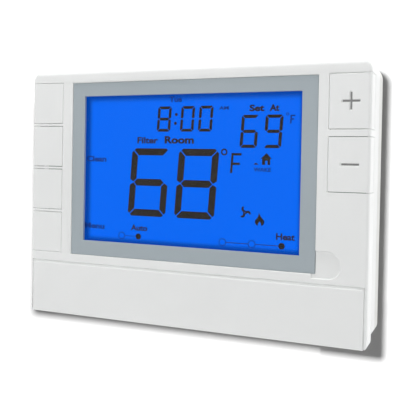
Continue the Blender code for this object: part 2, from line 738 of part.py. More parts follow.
def make_board_parts():
    """What is soldered to the back of the board."""
    for i in range(3):
        relay = on_board_back(f"relay_{i + 1}", RELAY_SIZE, (i - 1) * RELAY_PITCH, RELAY_BOTTOM)
        paint(bevel_all(relay, EASE), (0.03, 0.12, 0.5, 1), 0.4)
    paint(on_board_back("microcontroller", CHIP, 0, CHIP_BOTTOM), BLACK, 0.5)
    crystal = on_board_back("crystal", CRYSTAL, CRYSTAL_PLACE[0], CRYSTAL_PLACE[1])
    paint(bevel_all(crystal, 1 * MM, 3), STEEL, 0.25, 1)
    make_capacitor()
    make_thermistor()
    make_pin_header("left", -1)
    make_pin_header("right", 1)


def make_capacitor():
    """An electrolytic capacitor, laid along the back of the board."""
    x, bottom = CAPACITOR_PLACE
    y = GAP - BOARD_OUT[0] + CAPACITOR_RADIUS
    can = rod("capacitor", CAPACITOR_RADIUS, (x, y, bottom), (x, y, bottom + CAPACITOR_LENGTH))
    return paint(smooth(bevel_all(can, EASE, 2)), (0.02, 0.03, 0.12, 1), 0.35)


def make_thermistor():
    """A small resin bead on two wires, which senses the room air behind the vents."""
    profile = [(BEAD_RADIUS * c, BEAD_RADIUS * s) for c, s in arc((0, 0), 1, 90, -90, 10)]
    bead = turned("thermistor", profile, BEAD_PLACE, (0, -1, 0), 14)
    wire_out = (-BEAD_PLACE[1], BOARD_OUT[0] - GAP)
    for i, side in enumerate((-BEAD_RADIUS / 2, BEAD_RADIUS / 2)):
        wire = rod_out(f"thermistor_wire_{i}", BEAD_WIRE, BEAD_PLACE[0] + side, BEAD_PLACE[2], wire_out, 8)
        join(bead, wire)
    return paint(smooth(bead), BLACK, 0.3)


def make_pin_header(side, sign):
    """A bar of blades that plug into a terminal block through the rear cover."""
    x = sign * BLADE_X
    bar_back = COVER_BACK + WALL + GAP
    bar_out = (bar_back, BOARD_OUT[0] - GAP)
    header = box(f"pin_header_{side}", centred(x, HEADER_WIDTH), bar_out, grown(BLOCK_Z, -2 * MM))
    for i, z in enumerate(terminal_heights()):
        blade_out = (BLADE_OUT, bar_back + OVERLAP)
        join(header, box(f"blade_{side}_{i}", centred(x, BLADE[0]), blade_out, centred(z, BLADE[1])))
    return paint(header, BLACK, 0.5)


def make_battery_tray():
    """The open tray that holds the two cells, with a rib between them."""
    tray = box("battery_tray", (-TRAY_X, TRAY_X), TRAY_OUT, TRAY_Z)
    end = TRAY_X - TRAY_WALL
    inside_out = (TRAY_OUT[0] + TRAY_WALL, TRAY_OUT[1] + PAST)
    for side, span in (("left", (-end, -TRAY_RIB)), ("right", (TRAY_RIB, end))):
        cut(tray, box(f"tray_pocket_{side}", span, inside_out, grown(TRAY_Z, -TRAY_WALL)))
    return paint(tray, OFF_WHITE, 0.5)


def make_cell(name, tip_x):
    """One AAA cell, its positive nub to the left."""
    profile = [(0, 0), (NUB_RADIUS - EASE, 0), (NUB_RADIUS, -EASE), (NUB_RADIUS, -NUB_LENGTH)]
    profile += [(CELL_RADIUS - EASE, -NUB_LENGTH), (CELL_RADIUS, -NUB_LENGTH - EASE)]
    profile += [(CELL_RADIUS, EASE - CELL_LENGTH), (CELL_RADIUS - EASE, -CELL_LENGTH), (0, -CELL_LENGTH)]
    cell = turned(name, profile, (tip_x, -CELL_OUT, CELL_Z), (-1, 0, 0), 32)
    return paint(smooth(cell), (0.1, 0.11, 0.12, 1), 0.35, 0.6)


def make_contact(name, x):
    """A flat battery contact, upright in the tray."""
    plate_out = (TRAY_OUT[0] + TRAY_WALL + GAP, CONTACT_FRONT)
    plate = box(name, (x, x + CONTACT), plate_out, grown((CELL_Z, CELL_Z), CONTACT_HALF))
    return paint(plate, STEEL, 0.3, 1)


def make_spring(name, x):
    """A coiled battery spring that ends at x, narrower towards the cell on its left."""
    curve = bpy.data.curves.new(name, "CURVE")
    curve.dimensions = "3D"
    curve.bevel_depth = SPRING_WIRE
    curve.bevel_resolution = 2
    curve.use_fill_caps = True
    spline = curve.splines.new("POLY")
    spline.points.add(round(12 * SPRING_TURNS))
    for i, point in enumerate(spline.points):
        share = i / (len(spline.points) - 1)
        angle = 2 * math.pi * SPRING_TURNS * share
        radius = SPRING_RADII[0] + (SPRING_RADII[1] - SPRING_RADII[0]) * share
        along = x - SPRING_WIRE - (SPRING_LENGTH - 2 * SPRING_WIRE) * share
        point.co = (along, -CELL_OUT + radius * math.cos(angle), CELL_Z + radius * math.sin(angle), 1)
    coil = bpy.data.objects.new(name + "_curve", curve)
    CUTTERS.objects.link(coil)
    return paint(smooth(new_object(name, mesh_of_curve(coil, name))), STEEL, 0.3, 1)


def make_power():
    """The cells, and the contacts and springs that join them."""
    end = TRAY_X - TRAY_WALL
    beyond = CELL_LENGTH + GAP + SPRING_LENGTH
    left_tip = -end + CONTACT + 2 * GAP
    make_contact("battery_contact_left", -end + GAP)
    make_cell("battery_left", left_tip)
    make_spring("battery_spring_middle", left_tip + beyond)
    right_tip = TRAY_RIB + CONTACT + 2 * GAP
    make_contact("battery_contact_middle", TRAY_RIB + GAP)
    make_cell("battery_right", right_tip)
    make_spring("battery_spring_right", right_tip + beyond)


def make_case_screw(name, x, z):
    """A pan head screw with a cross recess, driven in from the back."""
    head_height = HEAD_OUT[1] - HEAD_OUT[0]
    length = SHANK_END - HEAD_OUT[0]
    profile = [(0, 0), (SCREW_HEAD - EASE, 0), (SCREW_HEAD, -EASE), (SCREW_HEAD, -head_height)]
    profile += [(SHANK, -head_height), (SHANK, SHANK - length), (SHANK / 2, -length), (0, -length)]
    screw = turned(name, profile, (x, -HEAD_OUT[0], z), (0, 1, 0), SMALL_STEPS)
    long, thin = RECESS
    deep = (HEAD_OUT[0] - PAST, HEAD_OUT[0] + RECESS_DEPTH)
    cut(screw, box(name + "_recess_across", centred(x, long), deep, centred(z, thin)))
    cut(screw, box(name + "_recess_upright", centred(x, thin), deep, centred(z, long)))
    return paint(smooth(screw), STEEL, 0.3, 1)


def main():
    make_wall_plate()
    make_terminal_block("left", -1)
    make_terminal_block("right", 1)
    make_rear_cover()
    make_front_housing()
    for name, x, z in key_places():
        make_key(name, x, z)
    make_battery_door()
    make_display()
    make_main_board()
    make_board_parts()
    make_battery_tray()
    make_power()
    for i, (x, z) in enumerate(boss_places()):
        make_case_screw(f"case_screw_{i + 1}", x, z)


main()
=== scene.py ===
"""The looks of a wall thermostat with a blue display: shells, display graphics, materials and studio.

Lengths are in metres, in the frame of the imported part: +X is right seen from the front, +Z is up, and the
front looks along -Y. "Out" is the distance from the wall, so a point that is out by d has y = -d.
"""

import json
import math

import bmesh
import bpy
from mathutils import Matrix, Vector

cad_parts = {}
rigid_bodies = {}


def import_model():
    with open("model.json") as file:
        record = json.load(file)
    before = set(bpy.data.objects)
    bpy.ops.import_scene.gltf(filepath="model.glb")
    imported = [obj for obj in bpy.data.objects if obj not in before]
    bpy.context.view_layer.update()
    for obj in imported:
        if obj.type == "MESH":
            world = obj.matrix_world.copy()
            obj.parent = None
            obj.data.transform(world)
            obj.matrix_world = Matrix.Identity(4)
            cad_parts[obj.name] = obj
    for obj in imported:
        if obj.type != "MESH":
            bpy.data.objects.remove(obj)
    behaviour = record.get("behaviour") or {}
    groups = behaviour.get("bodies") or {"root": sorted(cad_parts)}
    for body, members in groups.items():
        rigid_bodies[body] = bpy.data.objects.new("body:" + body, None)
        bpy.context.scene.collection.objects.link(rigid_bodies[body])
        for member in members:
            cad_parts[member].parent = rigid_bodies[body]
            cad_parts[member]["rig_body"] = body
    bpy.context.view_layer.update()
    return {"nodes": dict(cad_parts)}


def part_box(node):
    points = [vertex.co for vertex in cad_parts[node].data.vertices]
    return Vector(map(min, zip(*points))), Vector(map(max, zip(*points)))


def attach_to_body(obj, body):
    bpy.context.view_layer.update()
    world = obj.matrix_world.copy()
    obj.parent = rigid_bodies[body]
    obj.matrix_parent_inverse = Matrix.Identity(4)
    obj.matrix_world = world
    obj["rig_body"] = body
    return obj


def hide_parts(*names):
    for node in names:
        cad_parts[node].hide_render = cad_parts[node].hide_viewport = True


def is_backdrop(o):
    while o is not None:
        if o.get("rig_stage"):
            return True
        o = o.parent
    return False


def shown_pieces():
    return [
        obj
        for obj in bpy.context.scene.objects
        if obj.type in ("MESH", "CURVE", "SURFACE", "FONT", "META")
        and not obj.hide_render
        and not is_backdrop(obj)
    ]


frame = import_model()

MM = 0.001
scene = bpy.context.scene


# ---------------------------------------------------------------- material building

# A colour mix node has a set of sockets for each kind of data. These are the colours', by their place.
MIX_SHARE, MIX_FIRST, MIX_SECOND, MIX_RESULT = 0, 6, 7, 2
# How many rays the edge and crevice tests send out
EDGE_SAMPLES = 6


class Finish:
    """One material. Its methods add nodes, and hand back the socket to use next."""

    def __init__(self, name, colour, roughness, **sockets):
        self.material = bpy.data.materials.new(name)
        self.material.use_nodes = True
        self.tree = self.material.node_tree
        self.shader = self.tree.nodes["Principled BSDF"]
        self.shader.inputs["Base Color"].default_value = (*colour, 1)
        self.shader.inputs["Roughness"].default_value = roughness
        for socket, value in sockets.items():
            self.shader.inputs[socket.replace("_", " ")].default_value = value
        self.place = self.add("ShaderNodeTexCoord").outputs["Object"]
        self.height = None

    def add(self, kind, inputs=(), **settings):
        node = self.tree.nodes.new(kind)
        for setting, value in settings.items():
            setattr(node, setting, value)
        for socket, value in dict(inputs).items():
            self.feed(node.inputs[socket], value)
        return node

    def feed(self, socket, value):
        if isinstance(value, bpy.types.NodeSocket):
            self.tree.links.new(value, socket)
        else:
            socket.default_value = value

    def set(self, name, value):
        self.feed(self.shader.inputs[name], value)

    def stretched(self, scale):
        """The object's own coordinates, squeezed or stretched along each axis."""
        return self.add("ShaderNodeMapping", {"Vector": self.place, "Scale": scale}).outputs["Vector"]

    def noise(self, scale, detail=2.0, rough=0.5, place=None, distortion=0.0):
        inputs = {"Vector": place or self.place, "Scale": scale, "Detail": detail}
        inputs.update({"Roughness": rough, "Distortion": distortion})
        return self.add("ShaderNodeTexNoise", inputs).outputs["Fac"]

    def cells(self, scale, feature="F1", place=None):
        inputs = {"Vector": place or self.place, "Scale": scale}
        return self.add("ShaderNodeTexVoronoi", inputs, feature=feature).outputs["Distance"]

    def span(self, value, low, high, to_low, to_high, smooth=False):
        """Maps low..high to to_low..to_high, and stays inside that."""
        kind = "SMOOTHSTEP" if smooth else "LINEAR"
        inputs = {"Value": value, "From Min": low, "From Max": high, "To Min": to_low, "To Max": to_high}
        return self.add("ShaderNodeMapRange", inputs, interpolation_type=kind).outputs["Result"]

    def calc(self, operation, first, second=0.0):
        return self.add("ShaderNodeMath", {0: first, 1: second}, operation=operation).outputs[0]

    def mixed(self, share, first, second):
        """A blend of two colours, each three numbers or a socket."""
        node = self.add("ShaderNodeMix", data_type="RGBA")
        self.feed(node.inputs[MIX_SHARE], share)
        for socket, value in ((node.inputs[MIX_FIRST], first), (node.inputs[MIX_SECOND], second)):
            self.feed(socket, value if isinstance(value, bpy.types.NodeSocket) else (*value, 1))
        return node.outputs[MIX_RESULT]

    def axes(self):
        """The x, y and z of the object's own coordinates."""
        return self.add("ShaderNodeSeparateXYZ", {0: self.place}).outputs

    def mottled(self, scale, first, second, detail=3):
        """Soft patches of two colours."""
        return self.mixed(self.span(self.noise(scale, detail), 0.3, 0.7, 0, 1), first, second)

    def edges(self, radius):
        """How close a point is to a convex or concave edge, from 0 to about 1."""
        rounded = self.add("ShaderNodeBevel", {"Radius": radius}, samples=EDGE_SAMPLES).outputs["Normal"]
        true = self.add("ShaderNodeNewGeometry").outputs["True Normal"]
        dot = self.add("ShaderNodeVectorMath", {0: rounded, 1: true}, operation="DOT_PRODUCT")
        return self.span(dot.outputs["Value"], 0.7, 1.0, 1.0, 0.0)

    def crevices(self, distance):
        """How deep a point lies in a corner or a gap, from 0 to 1."""
        node = self.add("ShaderNodeAmbientOcclusion", {"Distance": distance}, samples=EDGE_SAMPLES)
        return self.span(node.outputs["AO"], 0.25, 0.95, 1.0, 0.0)

    def bump(self, height, depth, strength):
        """Adds a relief of a given depth in metres on top of what is there."""
        node = self.add("ShaderNodeBump", {"Height": height, "Distance": depth, "Strength": strength})
        if self.height:
            self.feed(node.inputs["Normal"], self.height)
        self.height = node.outputs["Normal"]
        self.set("Normal", self.height)


def darker(colour, share):
    return tuple(part * share for part in colour)


RUBBED_PLASTIC = (0.95, 0.95, 0.94)
RUBBED_WIDTH = 0.35 * MM
# How far the crevice test reaches: it places the painted shade and the painted glow in corners and gaps
CREVICE_REACH = 1.1 * MM
GRAIN_DEPTH = 0.006 * MM
RIPPLE_DEPTH = 0.05 * MM


def moulded(name, colour, roughness, grain=0.5 * MM, dust_and_shade=0.16, worn=0.05, painted_gap_glow=0.0):
    """Moulded plastic: fine grain, faint flow marks, uneven gloss and rubbed edges. Its corners and gaps are
    darker in patches, as painted shade that looks like dust. A painted glow brightens its narrow gaps."""
    f = Finish(name, colour, roughness)
    flow = f.noise(28, 3, 0.55, distortion=0.6)
    speck = f.noise(1600, 2)
    shade = f.mixed(f.span(flow, 0.3, 0.7, 0, 1), darker(colour, 0.975), darker(colour, 1.015))
    shade = f.mixed(f.span(speck, 0.35, 0.65, 0, 0.5), shade, darker(colour, 0.985))
    rubbed = f.calc("MULTIPLY", f.edges(RUBBED_WIDTH), f.span(f.noise(420, 4, 0.6), 0.42, 0.62, 0.1, 1))
    shade = f.mixed(f.calc("MULTIPLY", rubbed, worn), shade, RUBBED_PLASTIC)
    # Painted shade: darker in patches in the corners and gaps that the crevice test finds
    patchy = f.span(f.noise(160, 4, 0.6), 0.3, 0.75, 0.7, 1)
    hidden = f.calc("MULTIPLY", f.crevices(CREVICE_REACH), patchy)
    f.set("Base Color", f.mixed(f.calc("MULTIPLY", hidden, dust_and_shade), shade, darker(colour, 0.3)))
    gloss = f.span(f.noise(90, 4, 0.6), 0.25, 0.75, roughness - 0.05, roughness + 0.06)
    scuffs = f.span(f.noise(500, 3, 0.6, f.stretched((1, 1, 0.12))), 0.62, 0.72, 0, 0.07)
    gloss = f.calc("ADD", gloss, scuffs)
    f.set("Roughness", f.calc("SUBTRACT", gloss, f.calc("MULTIPLY", rubbed, 0.06)))
    # Painted light: a glow in the narrow gaps that keeps them from going dark
    if painted_gap_glow:
        f.set("Emission Color", shade)
        f.set("Emission Strength", f.calc("MULTIPLY", hidden, painted_gap_glow))
    f.bump(f.noise(45, 2), RIPPLE_DEPTH, 0.25)
    f.bump(f.cells(1 / grain, "SMOOTH_F1"), GRAIN_DEPTH, 0.5)
    return f.material


def metal(name, colour, roughness, brushed):
    """Plated metal: fine drawn lines along the brushed axis, uneven gloss and dull patches."""
    f = Finish(name, colour, roughness, Metallic=1.0)
    lines = f.noise(2600, 3, 0.6, f.stretched(brushed))
    patches = f.span(f.noise(220, 4, 0.6), 0.45, 0.7, 0, 0.35)
    shade = f.mixed(f.span(lines, 0.3, 0.7, 0, 1), darker(colour, 0.86), darker(colour, 1.06))
    f.set("Base Color", f.mixed(patches, shade, darker(colour, 0.55)))
    gloss = f.span(lines, 0.25, 0.75, roughness - 0.06, roughness + 0.08)
    f.set("Roughness", f.calc("ADD", gloss, f.calc("MULTIPLY", patches, 0.5)))
    f.bump(lines, 0.004 * MM, 0.4)
    return f.material


# ---------------------------------------------------------------- the materials, one for each slot and use

WHITE = (0.79, 0.80, 0.795)
OFF_WHITE = (0.70, 0.705, 0.68)
BORDER_GREY = (0.355, 0.405, 0.435)
BLACK = (0.022, 0.022, 0.024)
GLASS_BLUE = (0.0002, 0.150, 1.0)
# The display's blue at its edges: the bezel's painted shadow. It also tints faint uneven patches.
EDGE_BLUE = (0.0006, 0.058, 0.40)
UNLIT_BLUE = (0.0006, 0.006, 0.03)
INK = (0.034, 0.026, 0.019)
FAINT_INK = (0.003, 0.025, 0.16)
SHADE_GREY = (0.26, 0.26, 0.26)
SILVER = (0.62, 0.62, 0.60)

DISPLAY_GLOW = 1.05
FAINT_GLOW = 0.9
GLASS_GRAIN_DEPTH = 0.002 * MM

# In the order left, right, bottom, top: the bezel's border, and how far inside it the blue darkens,
# as a painted shadow of the bezel together with the backlight's falloff
BORDER = (5.6 * MM, 5.75 * MM, 5.85 * MM, 5.35 * MM)
SHADOW_FADE = (2.6 * MM, 1.9 * MM, 2.3 * MM, 3.0 * MM)


def lit_glass():
    """The lit display: an even blue that darkens towards the edges of the bezel's window, as a painted
    shadow of the bezel together with the backlight's falloff.
    """
    f = Finish("blue_display", UNLIT_BLUE, 0.35, Specular_IOR_Level=0.04)
    x, _, z = f.axes()
    low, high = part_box("screen_bezel")
    low = low + Vector((BORDER[0], 0, BORDER[2]))
    high = high - Vector((BORDER[1], 0, BORDER[3]))
    left = f.span(x, low.x, low.x + SHADOW_FADE[0], 0, 1, True)
    right = f.span(x, high.x - SHADOW_FADE[1], high.x, 1, 0, True)
    bottom = f.span(z, low.z, low.z + SHADOW_FADE[2], 0, 1, True)
    top = f.span(z, high.z - SHADOW_FADE[3], high.z, 1, 0, True)
    middle = f.calc("MULTIPLY", f.calc("MULTIPLY", left, right), f.calc("MULTIPLY", bottom, top))
    uneven = f.span(f.noise(14, 2), 0.3, 0.7, 0.0, 0.05)
    light = f.mixed(middle, EDGE_BLUE, GLASS_BLUE)
    grid = f.span(f.noise(2200, 2), 0.3, 0.7, 0.0, 0.03)
    light = f.mixed(f.calc("ADD", uneven, grid), light, EDGE_BLUE)
    f.set("Emission Color", light)
    f.set("Emission Strength", DISPLAY_GLOW)
    f.bump(f.noise(3000, 2), GLASS_GRAIN_DEPTH, 0.3)
    return f.material


def ink(name, colour, glow=0.0):
    """A dark display segment, a little uneven where it meets the glass. It also makes the painted
    shade in the signs' grooves.
    """
    f = Finish(name, colour, 0.55, Specular_IOR_Level=0.15)
    shade = f.mottled(900, darker(colour, 0.85), darker(colour, 1.1))
    if glow:
        f.set("Emission Color", shade)
        f.set("Emission Strength", glow)
    f.set("Base Color", shade)
    f.bump(f.noise(2400, 2), GLASS_GRAIN_DEPTH, 0.3)
    return f.material


def window_glass():
    """The clear window: almost invisible head on, with faint smears in its shine."""
    f = Finish("clear_lens", (0.02, 0.03, 0.04), 0.08, Alpha=0.07, Specular_IOR_Level=0.5)
    smears = f.noise(60, 5, 0.65, f.stretched((1, 1, 0.4)), 0.8)
    f.set("Roughness", f.span(smears, 0.35, 0.7, 0.04, 0.2))
    f.bump(f.noise(25, 2), 0.02 * MM, 0.2)
    return f.material


def circuit_board():
    """Green solder mask over copper tracks, with plated pads."""
    green, track = (0.012, 0.10, 0.045), (0.03, 0.19, 0.08)
    f = Finish("circuit_board", green, 0.32)
    x, _, z = f.axes()
    on_board = f.add("ShaderNodeCombineXYZ", {"X": x, "Y": z}).outputs[0]
    bricks = {"Vector": on_board, "Scale": 260.0, "Mortar Size": 0.06}
    bricks.update({"Color1": (0, 0, 0, 1), "Color2": (0, 0, 0, 1), "Mortar": (1, 1, 1, 1)})
    tracks = f.add("ShaderNodeTexBrick", bricks, offset=0.37).outputs["Color"]
    shade = f.mixed(tracks, green, track)
    pads = f.span(f.cells(420, place=on_board), 0.05, 0.12, 1, 0)
    f.set("Base Color", f.mixed(pads, shade, (0.75, 0.72, 0.62)))
    f.set("Metallic", f.calc("MULTIPLY", pads, 0.9))
    f.set("Roughness", f.span(f.noise(200, 3), 0.3, 0.7, 0.26, 0.4))
    f.bump(f.calc("ADD", f.calc("MULTIPLY", tracks, 0.5), pads), 0.03 * MM, 0.6)
    return f.material


# Along a cell, from the end with the nub
CELL_LENGTH = 44.5 * MM
NUB_SHOULDER = 0.6 * MM
BAND_MIDDLE, BAND_HALF = 7 * MM, 6 * MM
END_HALF = 0.7 * MM


def cell_jacket():
    """A printed foil jacket: dark along most of its length, with a copper band at each cell's nub end."""
    f = Finish("cell_jacket", (0.03, 0.032, 0.036), 0.3, Metallic=0.6)
    x = f.axes()[0]

    def about(place, reach):
        """1 within reach of a place along x, else 0."""
        return f.calc("LESS_THAN", f.calc("ABSOLUTE", f.calc("SUBTRACT", x, place)), reach)

    band, ends = 0.0, 0.0
    for name in ("battery_left", "battery_right"):
        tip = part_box(name)[0].x
        band = f.calc("MAXIMUM", band, about(tip + BAND_MIDDLE, BAND_HALF))
        for end in (tip + NUB_SHOULDER, tip + CELL_LENGTH):
            ends = f.calc("MAXIMUM", ends, about(end, END_HALF))
    drawn = f.span(f.noise(900, 3, 0.6, f.stretched((0.05, 1, 1))), 0.3, 0.7, 0, 1)
    foil = f.mixed(drawn, (0.025, 0.027, 0.03), (0.045, 0.047, 0.052))
    copper = f.mottled(600, (0.55, 0.25, 0.09), (0.66, 0.33, 0.13))
    f.set("Base Color", f.mixed(ends, f.mixed(band, foil, copper), SILVER))
    f.set("Metallic", f.calc("MAXIMUM", ends, f.calc("ADD", f.calc("MULTIPLY", band, 0.35), 0.5)))
    f.set("Roughness", f.span(f.noise(260, 4), 0.3, 0.7, 0.24, 0.38))
    f.bump(f.noise(700, 2), 0.01 * MM, 0.2)
    return f.material


def backlight():
    """The diffuser: milky and faintly lit."""
    f = Finish("backlight", (0.8, 0.85, 0.9), 0.5)
    f.set("Base Color", f.mottled(400, (0.74, 0.79, 0.84), (0.82, 0.86, 0.9)))
    f.set("Emission Color", f.mottled(60, (0.30, 0.55, 0.95), (0.45, 0.68, 1.0)))
    f.set("Emission Strength", 0.3)
    f.bump(f.cells(900), 0.01 * MM, 0.4)
    return f.material


finishes = {
    "white_shell": moulded("white_shell", WHITE, 0.42, dust_and_shade=0.08, painted_gap_glow=0.2),
    "off_white_plastic": moulded("off_white_plastic", OFF_WHITE, 0.5, dust_and_shade=0.3),
    "grey_bezel": moulded("grey_bezel", BORDER_GREY, 0.46, grain=0.35 * MM, dust_and_shade=0.1, worn=0.03),
    "clear_lens": window_glass(),
    "blue_display": lit_glass(),
    "backlight": backlight(),
    "black_rubber": moulded("black_rubber", (0.018, 0.018, 0.02), 0.75, grain=0.25 * MM, worn=0.02),
    "circuit_board": circuit_board(),
    "black_plastic": moulded("black_plastic", BLACK, 0.45, grain=0.3 * MM, worn=0.05),
    "relay_plastic": moulded("relay_plastic", (0.022, 0.10, 0.36), 0.36, grain=0.3 * MM, worn=0.06),
    "capacitor_sleeve": moulded("capacitor_sleeve", (0.012, 0.016, 0.06), 0.3, grain=0.3 * MM),
    "terminal_plastic": moulded("terminal_plastic", (0.035, 0.20, 0.085), 0.42, grain=0.3 * MM, worn=0.06),
    "cell_jacket": cell_jacket(),
    "plated_steel": metal("plated_steel", SILVER, 0.28, (1, 0.2, 1)),
}
segment_ink = ink("segment_ink", INK)
faint_ink = ink("faint_ink", FAINT_INK, FAINT_GLOW)
# Painted shade for the floor of the signs' grooves
groove_shade = ink("groove_shade", SHADE_GREY)


# ---------------------------------------------------------------- pieces made from the CAD shells

def attach(obj, body, material):
    """Links a piece, gives it its material, and lets it ride on a body."""
    scene.collection.objects.link(obj)
    obj.data.materials.clear()
    obj.data.materials.append(material)
    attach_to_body(obj, body)


# Edges sharper than this are rounded, and edges shorter than WELD close up
SHARP = math.radians(32)
LEVEL = math.radians(1)
WELD = 0.1 * MM

# Where the CAD has the keys' face and the floor and middle of the signs cut into it
KEYS = [f"key_left_{i}" for i in range(1, 5)] + ["key_plus", "key_minus"]
FACE = 27 * MM
SIGN_FLOOR = 26.5 * MM
SIGN_X = 63 * MM
SIGN_Z = {"key_plus": 35.55 * MM, "key_minus": 13.65 * MM}
SIGN_REACH = 4 * MM
KEY_ROUNDING = 0.6

# The thin cheeks beside the door's hinge, and the minus key's outer top corner
CHEEK_X, CHEEK_TOP = 66 * MM, -45 * MM
CORNER_X, CORNER_Z = 65 * MM, 23 * MM

# How much further into their gaps the copies reach than the CAD does: the keys and the door, and the bezel
WIDER, BEZEL_WIDER = 0.08 * MM, 0.2 * MM


def near(first, second, reach=0.05 * MM):
    return abs(first - second) < reach


def simplified(node, share):
    """A copy of a node's mesh with its tiny edges welded and its level triangles paired. Its sharp edges are
    marked with the share of the rounding each should get."""
    mesh = frame["nodes"][node].data.copy()
    shell = bmesh.new()
    shell.from_mesh(mesh)
    bmesh.ops.remove_doubles(shell, verts=shell.verts, dist=WELD)
    bmesh.ops.join_triangles(
        shell, faces=shell.faces, angle_face_threshold=LEVEL, angle_shape_threshold=math.pi
    )
    mark = shell.edges.layers.float.new("bevel_weight_edge")
    for seam in shell.edges:
        sharp = seam.is_manifold and seam.calc_face_angle() > SHARP
        seam[mark] = min(share(end.co) for end in seam.verts) if sharp else 0
    shell.to_mesh(mesh)
    shell.free()
    mesh.shade_smooth()
    mesh.set_sharp_from_angle(angle=SHARP)
    return mesh


def widened(mesh, x, z):
    """Moves a mesh's left and right ends by the x amounts and its low and high ends by the z amounts."""
    for axis, (low_by, high_by) in ((0, x), (2, z)):
        low = min(vertex.co[axis] for vertex in mesh.vertices)
        high = max(vertex.co[axis] for vertex in mesh.vertices)
        for vertex in mesh.vertices:
            along = (vertex.co[axis] - low) / (high - low)
            vertex.co[axis] += low_by + along * (high_by - low_by)


def refined(name, node, slot, edge, share=lambda point: 1, x=(0, 0), z=(0, 0)):
    """A finer copy of a CAD shell that stands for its node. Sharp edges are rounded by edge times share."""
    mesh = simplified(node, share)
    widened(mesh, x, z)
    obj = bpy.data.objects.new(name, mesh)
    attach(obj, frame["nodes"][node]["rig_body"], finishes[slot])
    bevel = obj.modifiers.new("rounded_edges", "BEVEL")
    bevel.limit_method = "WEIGHT"
    bevel.width = edge
    bevel.segments = 2
    bevel.use_clamp_overlap = False
    bevel.harden_normals = True
    bevel.miter_outer = "MITER_ARC"
    level = obj.modifiers.new("level_faces", "WEIGHTED_NORMAL")
    level.weight = 100
    level.keep_sharp = True
    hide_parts(node)


def housing_share(point):
    """None for the cheeks, which are too thin."""
    return 0 if abs(point.x) > CHEEK_X and point.z < CHEEK_TOP else 1


def key_share(point):
    """All of it for the rim of a sign, and none for the minus key's outer top corner, which would swell."""
    if point.x > CORNER_X and near(point.z, CORNER_Z, 0.5 * MM):
        return 0
    around_sign = near(point.x, SIGN_X, SIGN_REACH)
    return 1 if around_sign and near(point.y, -FACE) else KEY_ROUNDING


def make_shells():
    refined("shell_front_housing", "front_housing", "white_shell", 0.22 * MM, housing_share)
    refined("shell_battery_door", "battery_door", "white_shell", 0.14 * MM, z=(0, WIDER))
    refined("shell_rear_cover", "rear_cover", "white_shell", 0.16 * MM)
    refined("shell_wall_plate", "wall_plate", "off_white_plastic", 0.2 * MM)
    for node in KEYS:
        inward = (0, WIDER) if "left" in node else (-WIDER, 0)
        refined("cap_" + node, node, "white_shell", 0.26 * MM, key_share, inward, (-WIDER, WIDER))
    both = (-BEZEL_WIDER, BEZEL_WIDER)
    refined("frame_screen_bezel", "screen_bezel", "grey_bezel", 0.15 * MM, x=both, z=both)
    refined("moulded_battery_tray", "battery_tray", "off_white_plastic", 0.25 * MM)
    refined("moulded_lcd_holder", "lcd_holder", "off_white_plastic", 0.25 * MM)
    for side in ("left", "right"):
        refined(f"moulded_terminal_block_{side}", f"terminal_block_{side}", "terminal_plastic", 0.12 * MM)
        refined(f"moulded_pin_header_{side}", f"pin_header_{side}", "black_plastic", 0.12 * MM)


# The half sizes of the signs' bars of painted shade, and how far they sit up and right of the
# groove's middle, towards the walls that would shade it, in millimetres
LONG, SHORT, OFF_CENTRE = 3, 0.36, 0.1
SIGN_BARS = {"key_plus": ((LONG, SHORT), (SHORT, LONG)), "key_minus": ((LONG, SHORT),)}
SHADE_FILM_LIFT, NEXT_LIFT = 0.02 * MM, 0.01 * MM


def make_painted_groove_shade():
    """Painted shade: dark films on the floor of each sign's groove, set towards its upper and right
    walls. A second bar lies a little above the first.
    """
    for node, bars in SIGN_BARS.items():
        x, z = SIGN_X / MM + OFF_CENTRE, SIGN_Z[node] / MM + OFF_CENTRE
        for i, (wide, tall) in enumerate(bars):
            outline = [(x - wide, z - tall), (x + wide, z - tall), (x + wide, z + tall), (x - wide, z + tall)]
            name = f"sign_{node}_{i + 1}"
            mesh = flat_mesh(name, [outline])
            forward = SIGN_FLOOR + SHADE_FILM_LIFT + i * NEXT_LIFT - GRAPHICS_OUT
            mesh.transform(Matrix.Translation((0, -forward, 0)))
            body = frame["nodes"][node]["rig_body"]
            attach(bpy.data.objects.new(name, mesh), body, groove_shade)


# The slot for each CAD node that keeps its own mesh, by the start of its name
SLOTS = {
    "terminal_screw": "plated_steel", "case_screw": "plated_steel", "battery_contact": "plated_steel",
    "battery_spring": "plated_steel", "crystal": "plated_steel", "battery_left": "cell_jacket",
    "battery_right": "cell_jacket", "plunger": "off_white_plastic", "switch": "black_plastic",
    "microcontroller": "black_plastic", "thermistor": "black_plastic", "relay": "relay_plastic",
    "capacitor": "capacitor_sleeve", "main_board": "circuit_board", "zebra_strip": "black_rubber",
    "lcd_panel": "blue_display", "backlight_panel": "backlight", "display_lens": "clear_lens",
}


def finish_cad_nodes():
    """Gives every CAD node that is still shown its slot's material."""
    for name, obj in frame["nodes"].items():
        if obj.hide_render:
            continue
        slot = next(SLOTS[start] for start in SLOTS if name.startswith(start))
        obj.data.materials.clear()
        obj.data.materials.append(finishes[slot])


# ---------------------------------------------------------------- the display's graphics

# The graphics are films just in front of the LCD panel, whose front is out by 24.1 mm. Their places and sizes
# are in millimetres.
GRAPHICS_OUT = 24.16 * MM
FILM = 0.05 * MM


def flat_mesh(name, outlines):
    """A thin film cut to one or more outlines, each a list of (x, z) points."""
    curve = bpy.data.curves.new(name, "CURVE")
    curve.dimensions = "2D"
    curve.fill_mode = "BOTH"
    curve.extrude = FILM / 2
    for outline in outlines:
        spline = curve.splines.new("POLY")
        spline.points.add(len(outline) - 1)
        for point, (x, z) in zip(spline.points, outline):
            point.co = (x * MM, z * MM, 0, 1)
        spline.use_cyclic_u = True
    return stood_up(curve, name)


